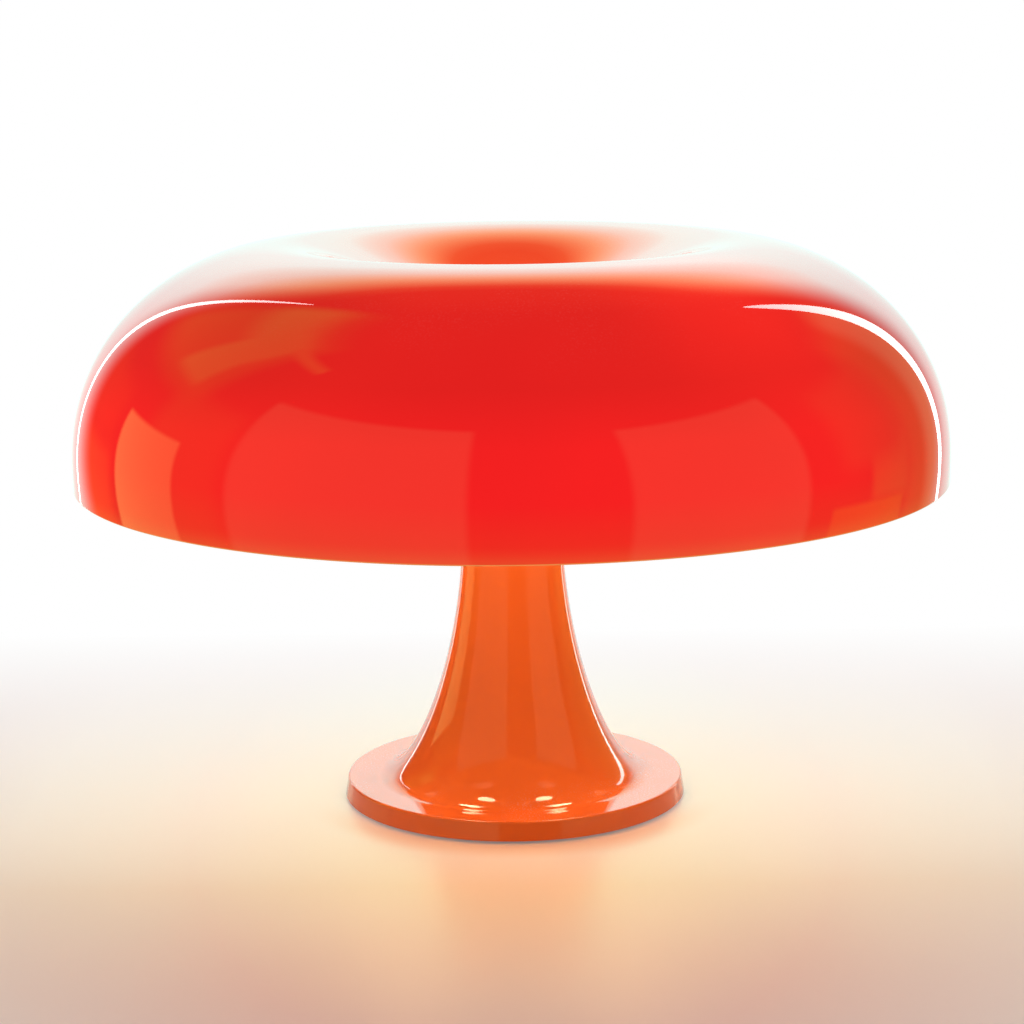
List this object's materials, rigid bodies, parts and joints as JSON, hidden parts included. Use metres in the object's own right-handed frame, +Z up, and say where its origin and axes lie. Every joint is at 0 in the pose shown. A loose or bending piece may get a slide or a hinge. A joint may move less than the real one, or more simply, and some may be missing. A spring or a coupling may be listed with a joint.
{
  "type": "dome table lamp",
  "caption": "Low table lamp with a wide translucent dome shade whose top sinks into a crater, on a trumpet stem and round base.",
  "frame": {"origin": "centre of the foot ring's underside, on the table", "axes": "+Z up along the lamp's axis, -Y towards the viewer, +Y towards the cord inlet"},
  "size_m": [0.5399, 0.54, 0.35],
  "materials": {
    "shade_plastic": "glossy translucent red-orange, lit from inside",
    "base_plastic": "glossy opaque orange",
    "cap_plastic": "glossy red-orange",
    "cover_plastic": "matte black",
    "holder_plastic": "matte off-white",
    "foot_rubber": "matte black rubber",
    "gasket_rubber": "grey silicone",
    "cast_iron": "rough cast",
    "zinc_steel": "bright zinc plated",
    "brass": "plain brass",
    "hub_paint": "white enamel",
    "opal_glass": "opal white glass, lit",
    "bulb_cap_metal": "bright nickel",
    "insulator_glass": "black glass",
    "filament_wire": "tungsten wire",
    "live_insulation": "brown insulation",
    "neutral_insulation": "blue insulation"
  },
  "bodies": {
    "lamp_base": {"base_shell": "base_plastic", "foot_ring": "foot_rubber", "base_cover": "cover_plastic", "cover_screws": "zinc_steel", "ballast_plate": "cast_iron", "tie_rod": "zinc_steel", "lower_nut": "zinc_steel", "lower_washer": "zinc_steel", "hub_washer": "zinc_steel", "hub_nut": "zinc_steel", "cord_grommet": "foot_rubber", "cord_clamp": "cover_plastic", "clamp_screws": "zinc_steel", "terminal_block": "holder_plastic", "terminal_inserts": "brass", "terminal_screws": "brass", "hub_body": "hub_paint", "hub_cover": "hub_paint", "hub_screws": "zinc_steel", "shade_gasket": "gasket_rubber", "holder_caps": "holder_plastic", "holder_nuts": "brass", "centre_contacts": "brass", "live_riser": "live_insulation", "live_jumpers": "live_insulation", "neutral_riser": "neutral_insulation", "neutral_jumpers": "neutral_insulation", "lampholder_1": "holder_plastic", "socket_shell_1": "brass", "lampholder_2": "holder_plastic", "socket_shell_2": "brass", "lampholder_3": "holder_plastic", "socket_shell_3": "brass", "lampholder_4": "holder_plastic", "socket_shell_4": "brass"},
    "shade": {"shade": "shade_plastic"},
    "cap_nut": {"cap_nut": "cap_plastic", "cap_insert": "brass"},
    "bulb_1": {"bulb_1_glass": "opal_glass", "bulb_1_cap": "bulb_cap_metal", "bulb_1_insulator": "insulator_glass", "bulb_1_tip": "bulb_cap_metal", "bulb_1_filament": "filament_wire"},
    "bulb_2": {"bulb_2_glass": "opal_glass", "bulb_2_cap": "bulb_cap_metal", "bulb_2_insulator": "insulator_glass", "bulb_2_tip": "bulb_cap_metal", "bulb_2_filament": "filament_wire"},
    "bulb_3": {"bulb_3_glass": "opal_glass", "bulb_3_cap": "bulb_cap_metal", "bulb_3_insulator": "insulator_glass", "bulb_3_tip": "bulb_cap_metal", "bulb_3_filament": "filament_wire"},
    "bulb_4": {"bulb_4_glass": "opal_glass", "bulb_4_cap": "bulb_cap_metal", "bulb_4_insulator": "insulator_glass", "bulb_4_tip": "bulb_cap_metal", "bulb_4_filament": "filament_wire"}
  },
  "joints": [
    {"name": "shade_lift", "type": "slide", "parent": "lamp_base", "child": "shade", "axis": [0, 0, 1], "range_m": [0, 0.12]},
    {"name": "cap_turn", "type": "hinge", "parent": "shade", "child": "cap_nut", "pos_m": [0, 0, 0.31], "axis": [0, 0, 1], "continuous": true},
    {"name": "bulb_1_unscrew", "type": "slide", "parent": "lamp_base", "child": "bulb_1", "axis": [0.7071, 0.7071, 0], "range_m": [0, 0.024]},
    {"name": "bulb_2_unscrew", "type": "slide", "parent": "lamp_base", "child": "bulb_2", "axis": [-0.7071, 0.7071, 0], "range_m": [0, 0.024]},
    {"name": "bulb_3_unscrew", "type": "slide", "parent": "lamp_base", "child": "bulb_3", "axis": [-0.7071, -0.7071, 0], "range_m": [0, 0.024]},
    {"name": "bulb_4_unscrew", "type": "slide", "parent": "lamp_base", "child": "bulb_4", "axis": [0.7071, -0.7071, 0], "range_m": [0, 0.024]}
  ]
}
